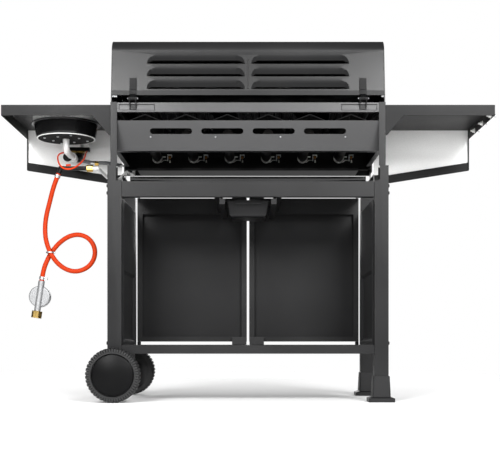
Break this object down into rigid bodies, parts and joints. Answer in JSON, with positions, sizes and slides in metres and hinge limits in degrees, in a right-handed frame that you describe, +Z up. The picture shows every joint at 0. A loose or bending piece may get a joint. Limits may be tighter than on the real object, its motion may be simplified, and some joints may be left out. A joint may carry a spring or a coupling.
{
  "type": "gas barbecue grill",
  "caption": "Black gas barbecue grill on a wheeled cabinet with doors, with a louvred lid, folded side shelves, a side burner and a looped red gas hose with its regulator.",
  "frame": {"origin": "on the ground, midway between the legs and below the middle of the cabinet", "axes": "+Z up, -Y towards the cook in front, +X to the cook's right, where the side burner and wheels are"},
  "size_m": [1.4475, 0.5503, 1.0679],
  "materials": {
    "black_coat": "satin powder coat",
    "enamel": "gloss enamel",
    "fascia_steel": "brushed",
    "black_plastic": "satin",
    "tyre": "matt",
    "plated_steel": "plated",
    "brass": "turned",
    "aluminium": "as cast",
    "cast_iron": "enamelled",
    "hose_rubber": "smooth"
  },
  "bodies": {
    "cart": {"wheel_legs": "black_coat", "foot_legs": "black_coat", "feet": "black_plastic", "side_panel_right": "black_coat", "side_panel_left": "black_coat", "upper_rear_beam": "black_coat", "door_header": "black_coat", "floor_shelf": "black_coat", "door_catches": "black_plastic", "wheel_axle": "plated_steel", "firebox_end_right": "black_coat", "firebox_end_left": "black_coat", "firebox_rear_rail": "black_coat", "firebox_rear_panel": "black_coat", "firebox_front_wall": "black_coat", "burners": "plated_steel", "flame_tamers": "enamel", "cooking_grates": "cast_iron", "warming_rack": "plated_steel", "control_panel": "black_coat", "gas_manifold": "aluminium", "lid_hinge_bases": "black_coat", "shelf_right": "black_coat", "shelf_left": "black_coat", "fascia_left": "fascia_steel", "fascia_right": "fascia_steel", "tool_hooks": "plated_steel", "side_burner_bowl": "enamel", "side_burner_head": "cast_iron", "pot_support": "cast_iron", "side_burner_venturi": "aluminium", "gas_hose": "hose_rubber", "hose_clips": "plated_steel", "regulator": "aluminium", "gas_pipes": "plated_steel", "gas_fittings": "brass", "drip_rails": "black_coat"},
    "lid": {"lid_shell": "black_coat", "lid_ends": "black_coat", "lid_handle": "fascia_steel", "lid_thermometer": "plated_steel", "lid_straps": "black_coat"},
    "right_door": {"door_right": "black_coat", "door_handle_right": "fascia_steel"},
    "left_door": {"door_left": "black_coat", "door_handle_left": "fascia_steel"},
    "rear_wheel": {"wheel_rear": "tyre", "hub_cap_rear": "black_plastic"},
    "front_wheel": {"wheel_front": "tyre", "hub_cap_front": "black_plastic"},
    "knob_1": {"burner_knob_1": "black_plastic"},
    "knob_2": {"burner_knob_2": "black_plastic"},
    "knob_3": {"burner_knob_3": "black_plastic"},
    "knob_4": {"burner_knob_4": "black_plastic"},
    "knob_5": {"burner_knob_5": "black_plastic"},
    "knob_6": {"burner_knob_6": "black_plastic"},
    "side_knob": {"side_burner_knob": "black_plastic"},
    "tray": {"grease_tray": "black_coat"},
    "cup": {"grease_cup": "black_coat"},
    "bottle_nut": {"regulator_nut": "brass"}
  },
  "joints": [
    {"name": "lid_hinge", "type": "hinge", "parent": "cart", "child": "lid", "pos_m": [0, 0.233, 0.8785], "axis": [-1, 0, 0], "range_deg": [0, 80]},
    {"name": "door_right_hinge", "type": "hinge", "parent": "cart", "child": "right_door", "pos_m": [0.357, -0.155, 0.409], "axis": [0, 0, 1], "range_deg": [0, 95]},
    {"name": "door_left_hinge", "type": "hinge", "parent": "cart", "child": "left_door", "pos_m": [-0.357, -0.155, 0.409], "axis": [0, 0, -1], "range_deg": [0, 95]},
    {"name": "wheel_rear_spin", "type": "hinge", "parent": "cart", "child": "rear_wheel", "pos_m": [0.3875, 0.253, 0.0785], "axis": [0, 1, 0], "continuous": true},
    {"name": "wheel_front_spin", "type": "hinge", "parent": "cart", "child": "front_wheel", "pos_m": [0.3875, -0.193, 0.0785], "axis": [0, 1, 0], "continuous": true},
    {"name": "burner_knob_1_turn", "type": "hinge", "parent": "cart", "child": "knob_1", "pos_m": [-0.3, -0.258, 0.788], "axis": [0, -1, 0], "range_deg": [0, 180]},
    {"name": "burner_knob_2_turn", "type": "hinge", "parent": "cart", "child": "knob_2", "pos_m": [-0.18, -0.258, 0.788], "axis": [0, -1, 0], "range_deg": [0, 180]},
    {"name": "burner_knob_3_turn", "type": "hinge", "parent": "cart", "child": "knob_3", "pos_m": [-0.06, -0.258, 0.788], "axis": [0, -1, 0], "range_deg": [0, 180]},
    {"name": "burner_knob_4_turn", "type": "hinge", "parent": "cart", "child": "knob_4", "pos_m": [0.06, -0.258, 0.788], "axis": [0, -1, 0], "range_deg": [0, 180]},
    {"name": "burner_knob_5_turn", "type": "hinge", "parent": "cart", "child": "knob_5", "pos_m": [0.18, -0.258, 0.788], "axis": [0, -1, 0], "range_deg": [0, 180]},
    {"name": "burner_knob_6_turn", "type": "hinge", "parent": "cart", "child": "knob_6", "pos_m": [0.3, -0.258, 0.788], "axis": [0, -1, 0], "range_deg": [0, 180]},
    {"name": "side_knob_turn", "type": "hinge", "parent": "cart", "child": "side_knob", "pos_m": [0.545, -0.137, 0.788], "axis": [0, -1, 0], "range_deg": [0, 180]},
    {"name": "grease_tray_slide", "type": "slide", "parent": "cart", "child": "tray", "axis": [0, 1, 0], "range_m": [0, 0.24]},
    {"name": "grease_cup_slide", "type": "slide", "parent": "cart", "child": "cup", "axis": [0, 1, 0], "range_m": [0, 0.12]},
    {"name": "regulator_nut_spin", "type": "hinge", "parent": "cart", "child": "bottle_nut", "pos_m": [0.63383, 0.125, 0.2565], "axis": [0.1467, 0, -0.9892], "continuous": true}
  ]
}
